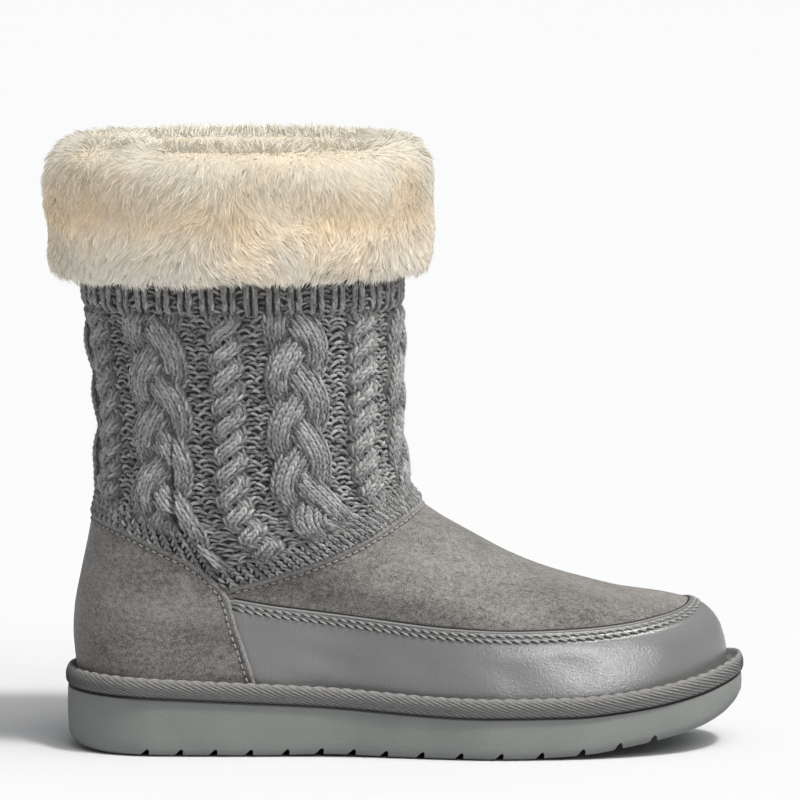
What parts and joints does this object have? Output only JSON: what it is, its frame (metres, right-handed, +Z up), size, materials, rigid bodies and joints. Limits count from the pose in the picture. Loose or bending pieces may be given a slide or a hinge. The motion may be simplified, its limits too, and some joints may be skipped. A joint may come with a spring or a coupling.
{
  "type": "snow boot",
  "caption": "Mid-calf pull-on snow boot for the right foot: cable-knit shaft under a turned-down fur cuff, suede vamp and heel counter, leather toe guard, corded welt and flat lugged sole.",
  "frame": {"origin": "on the floor, at the centre of the boot's bounding box seen from above", "axes": "+X points from heel to toe, +Y to the inner (medial) side of the right foot, +Z up"},
  "size_m": [0.2816, 0.1246, 0.2435],
  "materials": {
    "sole_rubber": "matte",
    "welt_cord": "matte",
    "insole_felt": "matte",
    "suede": "matte",
    "guard_leather": "satin",
    "knit_wool": "matte",
    "fur": "matte"
  },
  "bodies": {
    "root": {"outsole": "sole_rubber", "welt": "welt_cord", "insole": "insole_felt", "upper": "suede", "toe_guard": "guard_leather", "heel_counter": "suede", "knit_shaft": "knit_wool", "fur_cuff": "fur"}
  },
  "joints": []
}
